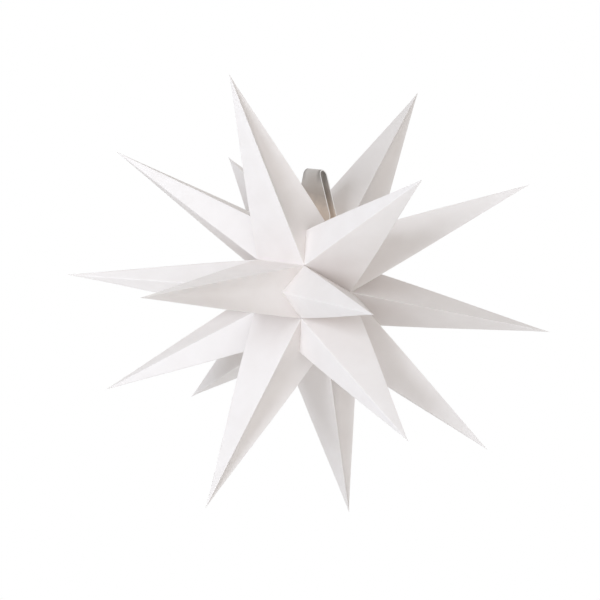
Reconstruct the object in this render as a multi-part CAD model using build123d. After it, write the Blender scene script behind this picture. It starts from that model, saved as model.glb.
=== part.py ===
"""A paper star lantern: eighteen hollow points of white card, hung by a sprung strap in its seam.

The star opens and closes like a book round its fold axis X. Six leaves stand round that axis, and
each leaf has three points: one on the middle row and one on the row at each side. Leaf 1 and leaf 6
face each other across the open seam at the top, where the strap comes out. Positions are worked out
from the star's centre and moved at the end, so that the origin is under the strap's crown, where a
hook bears. +Z is up, -Y is the front and +X is to the right of someone at the front.
"""

import math
import os

from build123d import *

# Card
card = 0.6
flap_depth = 13.0
flap_mitre = 10.0

# Tips of the points, from the star's centre
middle_reach = 304.0
side_reach = 292.0
side_slant = 52.3

# Roots of the points: how far along the fold axis, and how far out from it
corner_along = 36.0
corner_out = 67.2
valley_along = 27.4
valley_out = 87.4
pole_along = 61.6

# Spread of the leaves round the fold axis, in degrees, as it was opened by hand
leaf_steps = (55.4, 55.8, 54.7, 57.7, 63.2)
leaf_half = 28.2

# Hanger strap, bent from one strip of sheet steel
strap_wall = 1.5
crown_height = 141.0
crown_span = 14.0
crown_width = 22.0
crown_shift = -7.2
taper_drop = 53.0
leg_width = 52.0
cage_width = 44.0
cage_span = 36.0
cage_drop = 16.0
lip_length = 8.0
bend_radius = 2.5
seat_gap = 0.2

# Lamp plate under the strap's lips, and its rivets
plate_wall = 2.0
plate_overhang = 1.0
rivet_radius = 1.5
rivet_head_radius = 2.6
rivet_head_height = 1.0
rivet_clearance = 0.1
rivet_pitch = 30.0

# Threaded nipple, where a cable enters, and its nut
nipple_radius = 5.0
nipple_bore = 3.6
nipple_clearance = 0.1
nipple_rise = 7.0
nut_across_flats = 14.0
nut_height = 3.5

# Lamp holder
cap_radius = 14.0
cap_height = 14.0
cap_wall = 1.8
cap_bevel = 4.0
cap_roof_gap = 4.0
body_radius = 13.0
body_length = 26.0
socket_depth = 22.0
socket_clearance = 0.25

# Bulb, a sealed pygmy lamp
bulb_cap_radius = 7.0
bulb_cap_length = 21.8
bulb_tip_radius = 3.0
bulb_tip_height = 1.5
bulb_radius = 13.0
bulb_flare = 6.0
bulb_taper = 4.0
bulb_dome_radius = 9.5
bulb_dome_height = 1.5
bulb_glass_length = 36.0

# One overrun serves every cut
overrun = 5.0


def around(along, out, angle):
    """A place given along the fold axis, out from it, and round from the top towards the front."""
    turn = math.radians(angle)
    return Vector(along, -out * math.sin(turn), out * math.cos(turn))


def leaf_angles():
    """Where each leaf's middle stands. What the steps leave over is the gap at the seam."""
    angles = [(360 - sum(leaf_steps)) / 2]
    for step in leaf_steps:
        angles.append(angles[-1] + step)
    return angles


def edge_angles():
    """Where the glued edges between leaves stand. The first and the last are at the open seam."""
    angles = leaf_angles()
    glued = [(one + other) / 2 for one, other in zip(angles, angles[1:])]
    return [angles[0] - leaf_half, *glued, angles[-1] + leaf_half]


def facet_plane(tip, first, second):
    """The plane of one facet, facing away from the star's centre."""
    normal = (first - tip).cross(second - tip)
    return Plane(origin=tip, z_dir=normal if normal.dot(tip) > 0 else -normal)


def glue_flap(tip, first, second):
    """A mitred flap, folded in from a root edge towards the star's centre, inside its own point."""
    along = (second - first).normalized()
    middle = (first + second) / 2
    inward = (along * middle.dot(along) - middle).normalized()
    near = first + along * flap_mitre + inward * flap_depth
    far = second - along * flap_mitre + inward * flap_depth
    outline = Face(Wire.make_polygon([first, second, far, near]))
    normal = first.cross(second)
    return extrude(outline, amount=card, dir=normal if normal.dot(tip) > 0 else -normal)


def folded_card(tip, chain):
    """Facets from a tip down to each edge of a chain of root corners, with a flap at each edge."""
    block = ConvexPolyhedron([tip, *chain, Vector(0, 0, 0)])
    hollow = block
    flaps = []
    for first, second in zip(chain, chain[1:]):
        inner_face = facet_plane(tip, first, second).offset(-card)
        hollow = split(hollow, bisect_by=inner_face, keep=Keep.BOTTOM)
        flaps.append(glue_flap(tip, first, second) & block)
    return (block - hollow) + flaps


def middle_point(leaf):
    """A point of the middle row: six facets, with a groove down its left and right sides."""
    angle = leaf_angles()[leaf]
    tip = around(0, middle_reach, angle)
    valleys = [around(side * valley_along, valley_out, angle) for side in (-1, 1)]
    halves = []
    for edge in edge_angles()[leaf : leaf + 2]:
        corners = [around(side * corner_along, corner_out, edge) for side in (-1, 1)]
        halves.append(folded_card(tip, [valleys[0], *corners, valleys[1]]))
    return halves[0] + halves[1]


def side_point(leaf, side):
    """A point of the left or right row: four facets on a kite-shaped root that reaches the pole."""
    angle = leaf_angles()[leaf]
    slant = math.radians(side_slant)
    tip = around(side * side_reach * math.sin(slant), side_reach * math.cos(slant), angle)
    before, after = edge_angles()[leaf : leaf + 2]
    pole = Vector(side * pole_along, 0, 0)
    first_corner = around(side * corner_along, corner_out, before)
    valley = around(side * valley_along, valley_out, angle)
    last_corner = around(side * corner_along, corner_out, after)
    return folded_card(tip, [pole, first_corner, valley, last_corner, pole])


def shoulder_level():
    """Height of the strap's shoulders' upper face, close under the ends of the seam's flaps."""
    seam = math.radians(edge_angles()[0])
    flap_end = (corner_out - flap_depth) * math.cos(seam) - card * math.sin(seam)
    return flap_end - seat_gap


def lip_level():
    """Height of the underside of the strap's lips, where the lamp plate lies."""
    return shoulder_level() - cage_drop


def strap_path():
    """The middle line of the strip: lips, cage, legs through the seam, and the crown's half round."""
    half_wall = strap_wall / 2
    leg = crown_span / 2 - half_wall
    cage = cage_span / 2 - half_wall
    low, high = lip_level() + half_wall, shoulder_level() - half_wall
    spring = crown_height - crown_span / 2
    sides = []
    for side in (-1, 1):
        corners = [(cage - lip_length, low), (cage, low), (cage, high), (leg, high), (leg, spring)]
        points = [Vector(0, side * out, up) for out, up in corners]
        sides.append(FilletPolyline(*points, radius=bend_radius))
    crown = ThreePointArc((0, -leg, spring), (0, 0, spring + leg), (0, leg, spring))
    return Wire([*sides[0].edges(), *crown.edges(), *sides[1].edges()])


def strap_outline():
    """The strip's outline seen from the front: narrow at the crown, widest in the seam."""
    taper_end = crown_height - taper_drop
    step = shoulder_level() + overrun
    low = lip_level() - overrun
    crown_half, leg_half, cage_half = crown_width / 2, leg_width / 2, cage_width / 2
    return Polyline(
        (crown_shift - crown_half, 0, crown_height),
        (-leg_half, 0, taper_end),
        (-leg_half, 0, step),
        (-cage_half, 0, step),
        (-cage_half, 0, low),
        (cage_half, 0, low),
        (cage_half, 0, step),
        (leg_half, 0, step),
        (leg_half, 0, taper_end),
        (crown_shift + crown_half, 0, crown_height),
        close=True,
    )


def rivet_places():
    """Centres of the four rivets through the lips and the lamp plate."""
    out = cage_span / 2 - strap_wall - lip_length / 2
    return [(along, side * out) for along in (-rivet_pitch / 2, rivet_pitch / 2) for side in (-1, 1)]


def upright(radius, bottom, top, place=(0, 0)):
    """A plain upright cylinder between two heights."""
    middle = Location((*place, (bottom + top) / 2))
    return middle * Cylinder(radius=radius, height=top - bottom)


def rivet_holes():
    """Clearance holes for the rivets."""
    low, high = lip_level() - plate_wall - overrun, lip_level() + strap_wall + overrun
    return [upright(rivet_radius + rivet_clearance, low, high, place) for place in rivet_places()]


def hanger_strap():
    """The strap: a strip of constant wall along its path, cut to its outline and drilled."""
    path = strap_path()
    section = Plane(origin=path @ 0, x_dir=(1, 0, 0), z_dir=path % 0) * Rectangle(leg_width, strap_wall)
    strip = sweep(section, path=path)
    outline = make_face(strap_outline())
    return (strip & extrude(outline, amount=cage_span, both=True)) - rivet_holes()


def lamp_plate():
    """A flat plate under the strap's lips, with a hole for the nipple."""
    top = lip_level()
    width = cage_span + 2 * plate_overhang
    blank = Location((0, 0, top - plate_wall / 2)) * Box(cage_width, width, plate_wall)
    hole = upright(nipple_radius + nipple_clearance, top - plate_wall - overrun, top + overrun)
    return blank - hole - rivet_holes()


def plate_rivets():
    """Four rivets, each with a head above the lip and a head below the plate."""
    top, bottom = lip_level() + strap_wall, lip_level() - plate_wall
    rivets = []
    for place in rivet_places():
        shank = upright(rivet_radius, bottom, top, place)
        upper = upright(rivet_head_radius, top, top + rivet_head_height, place)
        lower = upright(rivet_head_radius, bottom - rivet_head_height, bottom, place)
        rivets.append(shank + upper + lower)
    return Compound(children=rivets)


def cable_nipple():
    """A threaded tube through the plate, screwed into the holder's cap: the cable's way in."""
    top = lip_level() + nipple_rise
    bottom = lip_level() - plate_wall - cap_wall - cap_roof_gap
    return upright(nipple_radius, bottom, top) - upright(nipple_bore, bottom - overrun, top + overrun)


def nipple_nut():
    """A hexagonal nut that clamps the plate against the holder's cap."""
    bottom = lip_level()
    top = bottom + nut_height
    hexagon = Plane.XY.offset(bottom) * RegularPolygon(nut_across_flats / 2, 6, major_radius=False)
    hole = upright(nipple_radius + nipple_clearance, bottom - overrun, top + overrun)
    return extrude(hexagon, nut_height) - hole


def turned(outline):
    """A solid of revolution about the lamp's upright axis, from an outline of radius and height."""
    return revolve(make_face(outline), axis=Axis.Z)


def holder_cap():
    """The lamp holder's cap: a shallow cup with a bevelled top and a hole for the nipple."""
    top = lip_level() - plate_wall
    hole, inside = nipple_radius + nipple_clearance, cap_radius - cap_wall
    outline = Polyline(
        (hole, 0, top),
        (cap_radius - cap_bevel, 0, top),
        (cap_radius, 0, top - cap_bevel),
        (cap_radius, 0, top - cap_height),
        (inside, 0, top - cap_height),
        (inside, 0, top - cap_wall),
        (hole, 0, top - cap_wall),
        close=True,
    )
    return turned(outline)


def holder_body():
    """The lamp holder's body: a neck inside the cap, and a socket open below."""
    top = lip_level() - plate_wall - cap_wall - cap_roof_gap
    rim = lip_level() - plate_wall - cap_height
    bottom = top - body_length
    neck = cap_radius - cap_wall - socket_clearance
    socket = bulb_cap_radius + socket_clearance
    outline = Polyline(
        (0, 0, top),
        (neck, 0, top),
        (neck, 0, rim),
        (body_radius, 0, rim),
        (body_radius, 0, bottom),
        (socket, 0, bottom),
        (socket, 0, bottom + socket_depth),
        (0, 0, bottom + socket_depth),
        close=True,
    )
    return turned(outline)


def bulb():
    """The pygmy lamp: contact, screw cap and flared glass with a domed end, one sealed solid."""
    mouth = lip_level() - plate_wall - cap_wall - cap_roof_gap - body_length
    shoulder = mouth + bulb_cap_length - bulb_tip_height
    end = mouth - bulb_glass_length
    rim = end + bulb_dome_height
    sides = Polyline(
        (0, 0, end),
        (0, 0, mouth + bulb_cap_length),
        (bulb_tip_radius, 0, mouth + bulb_cap_length),
        (bulb_tip_radius, 0, shoulder),
        (bulb_cap_radius, 0, shoulder),
        (bulb_cap_radius, 0, mouth),
        (bulb_radius, 0, mouth - bulb_flare),
        (bulb_radius, 0, rim + bulb_taper),
        (bulb_dome_radius, 0, rim),
    )
    dome = TangentArc((0, 0, end), (bulb_dome_radius, 0, rim), tangent=(1, 0, 0))
    return turned([*sides.edges(), *dome.edges()])


def pieces():
    """Every separate piece of the lantern, by name."""
    parts = {}
    for leaf in range(len(leaf_steps) + 1):
        parts[f"leaf_{leaf + 1}_middle_point"] = middle_point(leaf)
        parts[f"leaf_{leaf + 1}_left_point"] = side_point(leaf, -1)
        parts[f"leaf_{leaf + 1}_right_point"] = side_point(leaf, 1)
    parts["hanger_strap"] = hanger_strap()
    parts["lamp_plate"] = lamp_plate()
    parts["plate_rivets"] = plate_rivets()
    parts["cable_nipple"] = cable_nipple()
    parts["nipple_nut"] = nipple_nut()
    parts["holder_cap"] = holder_cap()
    parts["holder_body"] = holder_body()
    parts["bulb"] = bulb()
    return parts


def main():
    """Moves the star so that its hook bears at the origin, and writes one file per piece."""
    os.makedirs("parts", exist_ok=True)
    hook = Location((-crown_shift, 0, strap_wall - crown_height))
    for name, piece in pieces().items():
        export_step(hook * piece, f"parts/{name}.step")


main()
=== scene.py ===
"""Dresses the paper star lantern: folded card points, the sprung strap, the lamp, the light and the camera.

Every length is in metres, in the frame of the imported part: +Z up, the origin under the strap's crown.
Angles round the fold axis are in degrees, from the top towards the front.
"""
import math
import random

import bmesh
import bpy
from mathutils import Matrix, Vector


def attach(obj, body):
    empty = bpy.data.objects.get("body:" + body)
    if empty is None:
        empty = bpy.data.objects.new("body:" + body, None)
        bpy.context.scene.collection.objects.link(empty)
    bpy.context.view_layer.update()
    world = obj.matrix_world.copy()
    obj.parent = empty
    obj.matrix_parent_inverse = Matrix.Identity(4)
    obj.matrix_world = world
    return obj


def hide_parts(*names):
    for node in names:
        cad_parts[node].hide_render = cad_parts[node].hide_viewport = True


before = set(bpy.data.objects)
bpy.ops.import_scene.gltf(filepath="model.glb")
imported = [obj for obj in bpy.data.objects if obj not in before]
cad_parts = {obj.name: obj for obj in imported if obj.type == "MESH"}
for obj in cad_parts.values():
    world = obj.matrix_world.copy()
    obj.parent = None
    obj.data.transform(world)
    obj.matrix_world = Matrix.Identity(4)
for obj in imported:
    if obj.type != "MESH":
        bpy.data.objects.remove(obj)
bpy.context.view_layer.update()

# The star's centre, below the strap's crown
STAR = Vector((0.0072, 0.0, -0.1395))

# The star's driving sizes, as in the part
CARD = 0.0006
FLAP_DEPTH = 0.013
FLAP_MITRE = 0.010
MIDDLE_REACH = 0.304
SIDE_REACH = 0.292
SIDE_SLANT = math.radians(52.3)
CORNER_ALONG, CORNER_OUT = 0.0360, 0.0672
GROOVE_ALONG, GROOVE_OUT = 0.0274, 0.0874
POLE_ALONG = 0.0616
LEAF_STEPS = (55.4, 55.8, 54.7, 57.7, 63.2)
LEAF_HALF = 28.2

# Folds: ridges are tight rounds, grooves are wide soft gutters that open above the root
RIDGE_ROUND = 0.0011
GROOVE_SHARE = 0.42
GROOVE_OPENS_SHARE = 0.16

# Halfway up a point, how much it swells, its grooves draw in, and a facet one span wide bows
SWELL_SHARE = 0.04
PINCH_SHARE = 0.6
BOW = 0.0011
BOW_SPAN = 0.05

# How finely a point is drawn, and how much its rings crowd towards the tip
STATIONS = 44
BEND_STEPS = 6
FACET_STEPS = 7
CROWDING = 1.15
FOLD_SHARP = math.radians(40)

# Where the last ring stands, below which half width a point is solid, and where its inside ends above that
LAST_RING_SHARE = 0.994
SOLID_BELOW = 2.2 * CARD
INSIDE_TIP_SHARE = 1 / 3

# The first point's seed for its chance bows; the others count on from it
FIRST_SEED = 12

# A length below which a direction counts as none
NEARLY_NOTHING = 1e-9

# How far some tips lean off true, backwards and upwards, as in hand-folded card
TIP_LEANS = {
    "leaf_1_left_point": (-0.0020, -0.0020),
    "leaf_1_right_point": (-0.0020, 0.0012),
    "leaf_2_left_point": (0.0001, -0.0029),
    "leaf_2_middle_point": (0.0003, -0.0012),
    "leaf_3_right_point": (0.0017, 0.0007),
    "leaf_4_middle_point": (-0.0021, 0.0),
    "leaf_4_right_point": (-0.0030, -0.0023),
    "leaf_6_left_point": (-0.0028, -0.0011),
    "leaf_6_middle_point": (0.0034, -0.0011),
    "leaf_6_right_point": (-0.0012, 0.0014),
}
UPRIGHT = (0.0, 0.0)

# The strap's softened edges
STRAP_EDGE_ROUND = 0.00028
STRAP_EDGE_STEPS = 3
STRAP_EDGE_ANGLE = math.radians(40)
STRAP_SHARP = math.radians(50)
WELD_DISTANCE = 1e-6

# Where the strap's painted light and shade change: up its height, near its crown, out to its rims and onto
# its cut edges
PAINTED_SHADING_HEIGHTS = (-0.038, 0.008)
PAINTED_SHADING_WOBBLE = 0.02
CROWN_HEIGHTS = (-0.016, 0.0)
RIM_DISTANCES = (0.0075, 0.0115)
EDGE_TURN_SHARES = (0.5, 0.8)

# The camera, as the photograph was taken
VIEW_RIGHT = Vector((0.7810, 0.6193, 0.0811))
VIEW_UP = Vector((-0.1044, 0.0014, 0.9945))
VIEW_BACK = Vector((0.6158, -0.7852, 0.0657))
VIEW_DISTANCE = 3.2552
PHOTO_SIDE = 600
PHOTO_CENTRE = (310.17, 286.91)
METRES_PER_PIXEL = 0.00119746
SENSOR = 36.0

# Light colours
DAYLIGHT = (0.831, 0.910, 1.0)
PLAIN = (0.974, 1.0, 0.996)
WHITE = (1.0, 1.0, 1.0)

# One soft lamp in front to the left; its direction from the star is right, up and towards the camera
KEY_PLACE = (-0.6, 0.15, 0.8)
KEY_DISTANCE = 2.1
KEY_SIZE = 1.1
KEY_WATTS = 25.0

# The white studio round the star: its even part, and broad glows with a direction, strength and colour
AMBIENT = 0.205
AMBIENT_COLOUR = (1.0, 0.950, 0.930)
GLOW_SHARPNESS = 3.0
GLOWS = {
    "side": ((0.5, -0.1, 0.85), 1.15, PLAIN),
    "top": ((-0.2, 1.0, 0.2), 0.5, PLAIN),
    "floor": ((0.0, -1.0, 0.4), 0.6, PLAIN),
    "back": ((-0.1, 0.35, -1.0), 1.4, PLAIN),
}

# The floor, which the camera sees as mostly white
FLOOR_RADIUS = 2.4
FLOOR_SIDES = 96
FLOOR_DROP = 0.95
FLOOR_WHITE_SHARE = 0.75


def around(along, out, degrees):
    """A place given along the fold axis, out from it, and round from the top towards the front."""
    turn = math.radians(degrees)
    return Vector((along, -out * math.sin(turn), out * math.cos(turn)))


def leaf_angles():
    """Where each leaf's middle stands."""
    angles = [(360 - sum(LEAF_STEPS)) / 2]
    for step in LEAF_STEPS:
        angles.append(angles[-1] + step)
    return angles


def edge_angles():
    """Where the glued edges between leaves stand; the first and the last are at the open seam."""
    angles = leaf_angles()
    glued = [(one + other) / 2 for one, other in zip(angles, angles[1:])]
    return [angles[0] - LEAF_HALF, *glued, angles[-1] + LEAF_HALF]


def middle_root(leaf):
    """Tip, root corners in order, and which of them are grooves, for a middle point."""
    angle = leaf_angles()[leaf]
    before, after = edge_angles()[leaf : leaf + 2]
    corners = [
        around(-CORNER_ALONG, CORNER_OUT, before),
        around(-GROOVE_ALONG, GROOVE_OUT, angle),
        around(-CORNER_ALONG, CORNER_OUT, after),
        around(CORNER_ALONG, CORNER_OUT, after),
        around(GROOVE_ALONG, GROOVE_OUT, angle),
        around(CORNER_ALONG, CORNER_OUT, before),
    ]
    return around(0, MIDDLE_REACH, angle), corners, {1, 4}


def side_root(leaf, side):
    """Tip, root corners in order, and no grooves, for a point of the left (-1) or right (1) row."""
    angle = leaf_angles()[leaf]
    before, after = edge_angles()[leaf : leaf + 2]
    tip = around(side * SIDE_REACH * math.sin(SIDE_SLANT), SIDE_REACH * math.cos(SIDE_SLANT), angle)
    corners = [
        Vector((side * POLE_ALONG, 0, 0)),
        around(side * CORNER_ALONG, CORNER_OUT, before),
        around(side * GROOVE_ALONG, GROOVE_OUT, angle),
        around(side * CORNER_ALONG, CORNER_OUT, after),
    ]
    return tip, corners, set()


def smooth(value):
    """A soft step from 0 to 1."""
    value = min(max(value, 0.0), 1.0)
    return value * value * (3 - 2 * value)


def shaped_ring(tip, corners, grooves, height):
    """The root's corners carried up to one height, swollen, with the grooves drawn in, and their centre."""
    ring = [corner.lerp(tip, height) for corner in corners]
    centre = sum(ring, Vector()) / len(ring)
    swell = SWELL_SHARE * math.sin(math.pi * height)
    ring = [corner + (corner - centre) * swell for corner in ring]
    for index in grooves:
        across = (ring[index - 1] + ring[(index + 1) % len(ring)]) / 2 - centre
        ring[index] -= across * PINCH_SHARE * math.sin(math.pi * height)
    return ring, centre


def fold_cuts(ring, grooves, height):
    """How far to both sides of each corner its rounding reaches."""
    cuts = []
    for index, corner in enumerate(ring):
        shortest = min((ring[index - 1] - corner).length, (ring[(index + 1) % len(ring)] - corner).length)
        if index in grooves:
            cuts.append(shortest * GROOVE_SHARE * smooth(height / GROOVE_OPENS_SHARE))
        else:
            cuts.append(min(RIDGE_ROUND, shortest * GROOVE_SHARE))
    return cuts


def bowed_facet(start, end, centre, ridge, lift):
    """Points across one facet, lifted square to it and most in its middle."""
    across = (end - start).normalized()
    outward = (start + end) / 2 - centre
    outward -= across * outward.dot(across)
    outward -= ridge * outward.dot(ridge)
    outward = outward.normalized() if outward.length > NEARLY_NOTHING else Vector()
    points = []
    for step in range(1, FACET_STEPS):
        t = step / FACET_STEPS
        points.append(start.lerp(end, t) + outward * lift * math.sin(math.pi * t))
    return points


def cross_section(tip, corners, grooves, bows, height):
    """The card's outline at one height between root (0) and tip (1), with its folds rounded."""
    ring, centre = shaped_ring(tip, corners, grooves, height)
    cuts = fold_cuts(ring, grooves, height)
    points = []
    for index, corner in enumerate(ring):
        following = (index + 1) % len(ring)
        direction = (ring[following] - corner).normalized()
        back = (ring[index - 1] - corner).normalized() * cuts[index]
        ahead = direction * cuts[index]
        for step in range(BEND_STEPS + 1):
            t = step / BEND_STEPS
            points.append(corner + back * (1 - t) ** 2 + ahead * t * t)
        start = corner + ahead
        end = ring[following] - direction * cuts[following]
        lift = bows[index] * math.sin(math.pi * height) * (end - start).length / BOW_SPAN
        points += bowed_facet(start, end, centre, (tip - corners[index]).normalized(), lift)
    return points


def add_flap(mesh, tip, first, second):
    """A mitred glue flap inside the point, folded in from one root edge."""
    along = (second - first).normalized()
    middle = (first + second) / 2
    inward = (along * middle.dot(along) - middle).normalized()
    normal = first.cross(second).normalized()
    normal = normal if normal.dot(tip) > 0 else -normal
    inset = along * CARD
    outline = [
        first + inset,
        second - inset,
        second - along * FLAP_MITRE + inward * FLAP_DEPTH,
        first + along * FLAP_MITRE + inward * FLAP_DEPTH,
    ]
    lower = [mesh.verts.new(STAR + place) for place in outline]
    upper = [mesh.verts.new(STAR + place + normal * CARD) for place in outline]
    mesh.faces.new(lower)
    mesh.faces.new(upper[::-1])
    for index in range(len(outline)):
        following = (index + 1) % len(outline)
        mesh.faces.new((lower[index], upper[index], upper[following], lower[following]))


def skin(mesh, rows, end, outward):
    """Faces between rings of vertices, closed at one end by a single vertex."""
    count = len(rows[0])
    for lower, upper in zip(rows, rows[1:]):
        for index in range(count):
            following = (index + 1) % count
            quad = (lower[index], lower[following], upper[following], upper[index])
            mesh.faces.new(quad if outward else quad[::-1])
    for index in range(count):
        cap = (rows[-1][index], rows[-1][(index + 1) % count], end)
        mesh.faces.new(cap if outward else cap[::-1])


def rim(mesh, outer, inner, outward):
    """Faces across the card's thickness at the root, between its outer and inner ring."""
    for index in range(len(outer)):
        following = (index + 1) % len(outer)
        quad = (outer[index], inner[index], inner[following], outer[following])
        mesh.faces.new(quad if outward else quad[::-1])


def winds_outward(ring, axis):
    """Whether a ring of points turns the right way round for faces that look outwards."""
    centre = sum(ring, Vector()) / len(ring)
    turn = sum(((a - centre).cross(b - centre) for a, b in zip(ring, ring[1:] + ring[:1])), Vector())
    return turn.dot(axis) > 0


def as_piece(name, mesh):
    """A scene object made from a finished mesh."""
    data = bpy.data.meshes.new(name)
    mesh.to_mesh(data)
    mesh.free()
    piece = bpy.data.objects.new(name, data)
    bpy.context.collection.objects.link(piece)
    return piece


def shade(piece, sharp):
    """Smooth shading, but for edges that turn more sharply than an angle."""
    for polygon in piece.data.polygons:
        polygon.use_smooth = True
    piece.data.set_sharp_from_angle(angle=sharp)


def card_point(name, tip, corners, grooves, seed):
    """One folded card point: rounded folds, faintly bowed facets, true card thickness and glue flaps."""
    rng = random.Random(seed)
    bows = [rng.uniform(-1, 1) * BOW for _ in corners]
    root = sum(corners, Vector()) / len(corners)
    heights = [LAST_RING_SHARE * (1 - (1 - i / STATIONS) ** CROWDING) for i in range(STATIONS + 1)]
    mesh = bmesh.new()
    outer, inner = [], []
    for height in heights:
        ring = cross_section(tip, corners, grooves, bows, height)
        centre = root.lerp(tip, height)
        narrowest = min((point - centre).length for point in ring)
        outer.append([mesh.verts.new(STAR + point) for point in ring])
        if narrowest > SOLID_BELOW:
            share = CARD / narrowest
            inner.append([mesh.verts.new(STAR + point.lerp(centre, share)) for point in ring])
            deepest = height
    outward = winds_outward(cross_section(tip, corners, grooves, bows, 0), tip - root)
    inside_tip = root.lerp(tip, deepest + (1 - deepest) * INSIDE_TIP_SHARE)
    skin(mesh, outer, mesh.verts.new(STAR + tip), outward)
    skin(mesh, inner, mesh.verts.new(STAR + inside_tip), not outward)
    rim(mesh, outer[0], inner[0], outward)
    for first, second in zip(corners, corners[1:] + corners[:1]):
        add_flap(mesh, tip, first, second)
    piece = as_piece(name, mesh)
    shade(piece, FOLD_SHARP)
    return piece


def apply_modifiers(piece):
    """Turns a piece's modifiers into plain mesh."""
    graph = bpy.context.evaluated_depsgraph_get()
    baked = bpy.data.meshes.new_from_object(piece.evaluated_get(graph))
    piece.modifiers.clear()
    old, piece.data = piece.data, baked
    bpy.data.meshes.remove(old)


class Shader:
    """A small helper that builds one node material."""

    def __init__(self, name):
        self.material = bpy.data.materials.new(name)
        self.material.use_nodes = True
        self.tree = self.material.node_tree
        self.tree.nodes.clear()
        self.output = self.add("ShaderNodeOutputMaterial")
        self.surface = self.add("ShaderNodeBsdfPrincipled")
        self.link(self.surface, "BSDF", self.output, "Surface")
        self.place = self.add("ShaderNodeTexCoord")

    def add(self, kind, **values):
        """A new node, with its sockets or settings given by name."""
        node = self.tree.nodes.new(kind)
        for key, value in values.items():
            if key in node.inputs:
                node.inputs[key].default_value = value
            else:
                setattr(node, key, value)
        return node

    def link(self, source, output, target, socket):
        """Joins a node's output to another node's socket."""
        self.tree.links.new(source.outputs[output], target.inputs[socket])

    def set(self, **values):
        """Sets the surface's own sockets; an underscore stands for a space."""
        for key, value in values.items():
            self.surface.inputs[key.replace("_", " ")].default_value = value

    def noise(self, scale, detail=4.0, roughness=0.5, stretch=None):
        """Cloudy noise fixed to the piece, stretched where asked."""
        node = self.add("ShaderNodeTexNoise", Scale=scale, Detail=detail, Roughness=roughness)
        if stretch:
            mapping = self.add("ShaderNodeMapping", Scale=stretch)
            self.link(self.place, "Object", mapping, "Vector")
            self.link(mapping, "Vector", node, "Vector")
        else:
            self.link(self.place, "Object", node, "Vector")
        return node

    def ramp(self, source, output, stops):
        """Colours at given places of a value from 0 to 1."""
        node = self.add("ShaderNodeValToRGB")
        elements = node.color_ramp.elements
        while len(elements) < len(stops):
            elements.new(0.5)
        for element, (position, colour) in zip(elements, stops):
            element.position = position
            element.color = colour
        self.link(source, output, node, "Fac")
        return node

    def size_of(self, source, output):
        """A value without its sign."""
        node = self.add("ShaderNodeMath", operation="ABSOLUTE")
        self.link(source, output, node, 0)
        return node

    def between(self, source, output, low, high):
        """A share that grows from 0 at one value to 1 at another."""
        node = self.add("ShaderNodeMapRange")
        node.inputs["From Min"].default_value = low
        node.inputs["From Max"].default_value = high
        self.link(source, output, node, "Value")
        return node

    def blend(self, share, output, first, second):
        """One colour turning into another; output 2 is the mixed colour."""
        node = self.add("ShaderNodeMix", data_type="RGBA")
        self.link(share, output, node, 0)
        self.link(*first, node, 6)
        node.inputs[7].default_value = second
        return node

    def bump(self, source, output, strength, distance, below=None):
        """Fine relief, on top of another where one is given."""
        node = self.add("ShaderNodeBump", Strength=strength, Distance=distance)
        self.link(source, output, node, "Height")
        if below:
            self.link(below, "Normal", node, "Normal")
        return node


def grey(value):
    """A grey colour."""
    return (value, value, value, 1)


def card_material():
    """Matt white card: faint cloudy tone, fine fibres and a slow cockle."""
    shader = Shader("white card")
    cloud = shader.noise(38, detail=3.0)
    tone = shader.ramp(cloud, "Fac", [(0.3, (0.825, 0.772, 0.748, 1)), (0.7, (0.853, 0.803, 0.782, 1))])
    shader.link(tone, "Color", shader.surface, "Base Color")
    shader.set(Roughness=0.72, Specular_IOR_Level=0.28, Sheen_Weight=0.04)
    cockle = shader.noise(22, detail=2.0, roughness=0.4)
    fibre = shader.noise(2600, detail=3.0, roughness=0.6)
    slow = shader.bump(cockle, "Fac", strength=0.35, distance=0.0012)
    fine = shader.bump(fibre, "Fac", strength=0.25, distance=0.00006, below=slow)
    shader.link(fine, "Normal", shader.surface, "Normal")
    return shader.material


def strap_tone(shader):
    """The strap's colour: a painted warm reflection of the card low down, painted shade midway, grey near
    the top, painted shade round the crown's rims, and a painted highlight on its cut edges.
    """
    spot = shader.add("ShaderNodeSeparateXYZ")
    shader.link(shader.place, "Object", spot, "Vector")
    # Painted light and shade up the strap: a painted warm reflection of the card low down, painted shade
    # midway and grey at the top, with a cloudy wobble where they change.
    patchy = shader.add("ShaderNodeMath", operation="MULTIPLY_ADD")
    patchy.inputs[1].default_value = PAINTED_SHADING_WOBBLE
    shader.link(shader.noise(90), "Fac", patchy, 0)
    shader.link(spot, "Z", patchy, 2)
    height = shader.between(patchy, 0, *PAINTED_SHADING_HEIGHTS)
    painted_shading = shader.ramp(height, "Result", [
        (0.0, (0.86, 0.755, 0.665, 1)),
        (0.45, (0.54, 0.485, 0.445, 1)),
        (0.9, (0.62, 0.585, 0.56, 1)),
    ])
    # Painted shade: the strip's rims near the crown are darkened.
    crown = shader.between(spot, "Z", *CROWN_HEIGHTS)
    rims = shader.between(shader.size_of(spot, "X"), 0, *RIM_DISTANCES)
    dark = shader.add("ShaderNodeMath", operation="MULTIPLY")
    shader.link(crown, "Result", dark, 0)
    shader.link(rims, "Result", dark, 1)
    painted_crown_shade = shader.blend(dark, 0, (painted_shading, "Color"), (0.26, 0.24, 0.225, 1))
    # A painted highlight: faces that turn across the strip, its cut edges, are coloured near white.
    facing = shader.add("ShaderNodeSeparateXYZ")
    shader.link(shader.add("ShaderNodeNewGeometry"), "True Normal", facing, "Vector")
    cut = shader.between(shader.size_of(facing, "X"), 0, *EDGE_TURN_SHARES)
    return shader.blend(cut, "Result", (painted_crown_shade, 2), (0.86, 0.84, 0.82, 1))


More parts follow.
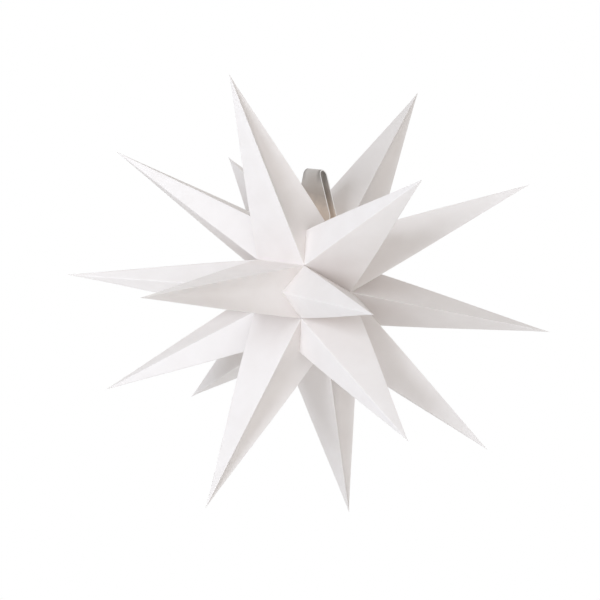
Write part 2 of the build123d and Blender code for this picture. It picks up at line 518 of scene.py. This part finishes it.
def strap_material():
    """Dull grey-brown sheet metal, brushed along the strip, with painted light and shade in its colour that
    changes cloudily up the strip.
    """
    shader = Shader("strap metal")
    shader.link(strap_tone(shader), 2, shader.surface, "Base Color")
    shader.set(Metallic=0.25)
    grain = shader.noise(900, detail=3.0, roughness=0.6, stretch=(1.0, 0.06, 0.06))
    rough = shader.ramp(grain, "Fac", [(0.3, grey(0.38)), (0.7, grey(0.52))])
    shader.link(rough, "Color", shader.surface, "Roughness")
    fine = shader.bump(grain, "Fac", strength=0.2, distance=0.00005)
    shader.link(fine, "Normal", shader.surface, "Normal")
    return shader.material


def plain_metal(name, dark, light, rough, spread=0.06):
    """A turned or stamped metal with a fine grain."""
    shader = Shader(name)
    cloud = shader.noise(160)
    tone = shader.ramp(cloud, "Fac", [(0.3, dark), (0.7, light)])
    shader.link(tone, "Color", shader.surface, "Base Color")
    shader.set(Metallic=1.0)
    grain = shader.noise(1400, detail=2.0)
    tone_rough = shader.ramp(grain, "Fac", [(0.3, grey(rough - spread)), (0.7, grey(rough + spread))])
    shader.link(tone_rough, "Color", shader.surface, "Roughness")
    fine = shader.bump(grain, "Fac", strength=0.15, distance=0.00004)
    shader.link(fine, "Normal", shader.surface, "Normal")
    return shader.material


def holder_material():
    """Off-white moulded plastic with a fine spark-eroded grain."""
    shader = Shader("holder plastic")
    cloud = shader.noise(60, detail=2.0)
    tone = shader.ramp(cloud, "Fac", [(0.3, (0.70, 0.68, 0.63, 1)), (0.7, (0.74, 0.72, 0.67, 1))])
    shader.link(tone, "Color", shader.surface, "Base Color")
    shader.set(Roughness=0.45)
    grain = shader.noise(2400, detail=2.0)
    fine = shader.bump(grain, "Fac", strength=0.2, distance=0.00003)
    shader.link(fine, "Normal", shader.surface, "Normal")
    return shader.material


def bulb_material():
    """Opal glass: white and milky, with a clear gloss."""
    shader = Shader("opal glass")
    cloud = shader.noise(50, detail=2.0)
    tone = shader.ramp(cloud, "Fac", [(0.3, (0.84, 0.83, 0.80, 1)), (0.7, (0.88, 0.87, 0.84, 1))])
    shader.link(tone, "Color", shader.surface, "Base Color")
    shader.set(Roughness=0.12, Coat_Weight=0.5)
    fine = shader.bump(cloud, "Fac", strength=0.05, distance=0.0001)
    shader.link(fine, "Normal", shader.surface, "Normal")
    return shader.material


def floor_material():
    """A pale matt floor that the camera sees as mostly white, with the star's shadow on it."""
    shader = Shader("pale floor")
    cloud = shader.noise(3, detail=2.0)
    tone = shader.ramp(cloud, "Fac", [(0.3, grey(0.86)), (0.7, grey(0.88))])
    shader.link(tone, "Color", shader.surface, "Base Color")
    shader.set(Roughness=0.9)
    share = shader.add("ShaderNodeMath", operation="MULTIPLY")
    share.inputs[1].default_value = FLOOR_WHITE_SHARE
    mix = shader.add("ShaderNodeMixShader")
    shader.link(shader.add("ShaderNodeLightPath"), "Is Camera Ray", share, 0)
    shader.link(share, 0, mix, "Fac")
    shader.link(shader.surface, 0, mix, 1)
    shader.link(shader.add("ShaderNodeEmission"), 0, mix, 2)
    shader.link(mix, 0, shader.output, "Surface")
    return shader.material


def paint(piece, material):
    """Gives a piece one material."""
    piece.data.materials.clear()
    piece.data.materials.append(material)


def dress_points():
    """Replaces every card point with a folded one."""
    card = card_material()
    seed = FIRST_SEED
    for leaf in range(len(LEAF_STEPS) + 1):
        forms = {
            "middle": middle_root(leaf),
            "left": side_root(leaf, -1),
            "right": side_root(leaf, 1),
        }
        for row, (tip, corners, grooves) in forms.items():
            node = f"leaf_{leaf + 1}_{row}_point"
            tip = tip + Vector((0, *TIP_LEANS.get(node, UPRIGHT)))
            piece = card_point(f"folded_{node}", tip, corners, grooves, seed)
            paint(piece, card)
            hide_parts(node)
            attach(piece, "root")
            seed += 1


def dress_strap():
    """Replaces the strap with the same strip, its cut edges softened."""
    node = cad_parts["hanger_strap"]
    piece = bpy.data.objects.new("strap_with_soft_edges", node.data.copy())
    bpy.context.collection.objects.link(piece)
    weld = piece.modifiers.new("weld", "WELD")
    weld.merge_threshold = WELD_DISTANCE
    edge = piece.modifiers.new("soft edges", "BEVEL")
    edge.width = STRAP_EDGE_ROUND
    edge.segments = STRAP_EDGE_STEPS
    edge.limit_method = "ANGLE"
    edge.angle_limit = STRAP_EDGE_ANGLE
    apply_modifiers(piece)
    shade(piece, STRAP_SHARP)
    paint(piece, strap_material())
    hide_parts("hanger_strap")
    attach(piece, "root")


def dress_lamp():
    """Gives the lamp's own nodes their finishes."""
    steel = plain_metal("plate steel", (0.42, 0.42, 0.42, 1), (0.52, 0.52, 0.51, 1), 0.36)
    rivet = plain_metal("rivet aluminium", (0.60, 0.60, 0.61, 1), (0.70, 0.70, 0.70, 1), 0.32)
    brass = plain_metal("turned brass", (0.60, 0.43, 0.17, 1), (0.72, 0.54, 0.25, 1), 0.26)
    plastic = holder_material()
    finishes = {
        "lamp_plate": steel,
        "plate_rivets": rivet,
        "cable_nipple": brass,
        "nipple_nut": brass,
        "holder_cap": plastic,
        "holder_body": plastic,
        "bulb": bulb_material(),
    }
    for node, material in finishes.items():
        paint(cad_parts[node], material)


def add_camera():
    """The photograph's view: its direction, lean, distance and framing."""
    data = bpy.data.cameras.new("camera")
    camera = bpy.data.objects.new("camera", data)
    bpy.context.collection.objects.link(camera)
    matrix = camera.matrix_world.copy()
    for row in range(3):
        matrix[row][0], matrix[row][1], matrix[row][2] = VIEW_RIGHT[row], VIEW_UP[row], VIEW_BACK[row]
    matrix.translation = STAR + VIEW_BACK * VIEW_DISTANCE
    camera.matrix_world = matrix
    data.sensor_width = SENSOR
    data.lens = SENSOR * VIEW_DISTANCE / (METRES_PER_PIXEL * PHOTO_SIDE)
    data.shift_x = (PHOTO_SIDE / 2 - PHOTO_CENTRE[0]) / PHOTO_SIDE
    data.shift_y = (PHOTO_CENTRE[1] - PHOTO_SIDE / 2) / PHOTO_SIDE
    bpy.context.scene.camera = camera


def seen_from_star(place):
    """A direction from the star, given as right, up and towards the camera."""
    right, up, back = place
    return (VIEW_RIGHT * right + VIEW_UP * up + VIEW_BACK * back).normalized()


def add_key_lamp():
    """A soft round lamp that faces the star."""
    data = bpy.data.lights.new("key", "AREA")
    data.shape = "DISK"
    data.size = KEY_SIZE
    data.energy = KEY_WATTS
    data.color = DAYLIGHT
    lamp = bpy.data.objects.new("key", data)
    bpy.context.collection.objects.link(lamp)
    direction = seen_from_star(KEY_PLACE)
    lamp.location = STAR + direction * KEY_DISTANCE
    lamp.rotation_euler = direction.to_track_quat("Z", "Y").to_euler()


class Studio:
    """A small helper that builds the world's nodes."""

    def __init__(self, name):
        world = bpy.data.worlds.new(name)
        bpy.context.scene.world = world
        world.use_nodes = True
        self.nodes, self.links = world.node_tree.nodes, world.node_tree.links
        self.nodes.clear()
        self.around = self.nodes.new("ShaderNodeTexCoord")

    def light(self, colour, strength):
        """A plain light of one colour."""
        node = self.nodes.new("ShaderNodeBackground")
        node.inputs["Color"].default_value = (*colour, 1)
        node.inputs["Strength"].default_value = strength
        return node

    def calculate(self, operation, first, second):
        """The result of one operation on two values, each a number or an output; additions stop at 1."""
        node = self.nodes.new("ShaderNodeMath")
        node.operation = operation
        node.use_clamp = operation == "ADD"
        for socket, value in zip(node.inputs, (first, second)):
            if isinstance(value, float):
                socket.default_value = value
            else:
                self.links.new(value, socket)
        return node.outputs[0]

    def glow(self, place, strength, colour):
        """A light that is brightest in one direction and fades to nothing at its side."""
        facing = self.nodes.new("ShaderNodeVectorMath")
        facing.operation = "DOT_PRODUCT"
        facing.inputs[1].default_value = seen_from_star(place)
        self.links.new(self.around.outputs["Generated"], facing.inputs[0])
        ahead = self.calculate("MAXIMUM", facing.outputs["Value"], 0.0)
        sharpened = self.calculate("POWER", ahead, GLOW_SHARPNESS)
        node = self.light(colour, strength)
        self.links.new(self.calculate("MULTIPLY", sharpened, strength), node.inputs["Strength"])
        return node

    def together(self, first, second):
        """Two lights at once."""
        node = self.nodes.new("ShaderNodeAddShader")
        self.links.new(first.outputs[0], node.inputs[0])
        self.links.new(second.outputs[0], node.inputs[1])
        return node

    def seen_as(self, unseen, seen):
        """One light on the star, and another wherever the world is seen, mirrored or looked through to."""
        path = self.nodes.new("ShaderNodeLightPath")
        direct = self.calculate("ADD", path.outputs["Is Camera Ray"], path.outputs["Is Glossy Ray"])
        direct = self.calculate("ADD", direct, path.outputs["Is Transmission Ray"])
        mix = self.nodes.new("ShaderNodeMixShader")
        self.links.new(direct, mix.inputs["Fac"])
        self.links.new(unseen.outputs[0], mix.inputs[1])
        self.links.new(seen.outputs[0], mix.inputs[2])
        output = self.nodes.new("ShaderNodeOutputWorld")
        self.links.new(mix.outputs[0], output.inputs["Surface"])


def add_studio():
    """The world: an even light with broad glows, and plain white wherever it is seen or mirrored."""
    studio = Studio("studio")
    lit = studio.light(AMBIENT_COLOUR, AMBIENT)
    for place, strength, colour in GLOWS.values():
        lit = studio.together(lit, studio.glow(place, strength, colour))
    studio.seen_as(lit, studio.light(WHITE, 1.0))


def add_floor():
    """A plain pale floor well below the hanging star."""
    mesh = bmesh.new()
    bmesh.ops.create_circle(mesh, cap_ends=True, segments=FLOOR_SIDES, radius=FLOOR_RADIUS)
    for vertex in mesh.verts:
        vertex.co.z += STAR.z - FLOOR_DROP
    floor = as_piece("floor", mesh)
    paint(floor, floor_material())


dress_points()
dress_strap()
dress_lamp()
add_floor()
add_key_lamp()
add_studio()
add_camera()
bpy.context.scene.view_settings.view_transform = "Standard"
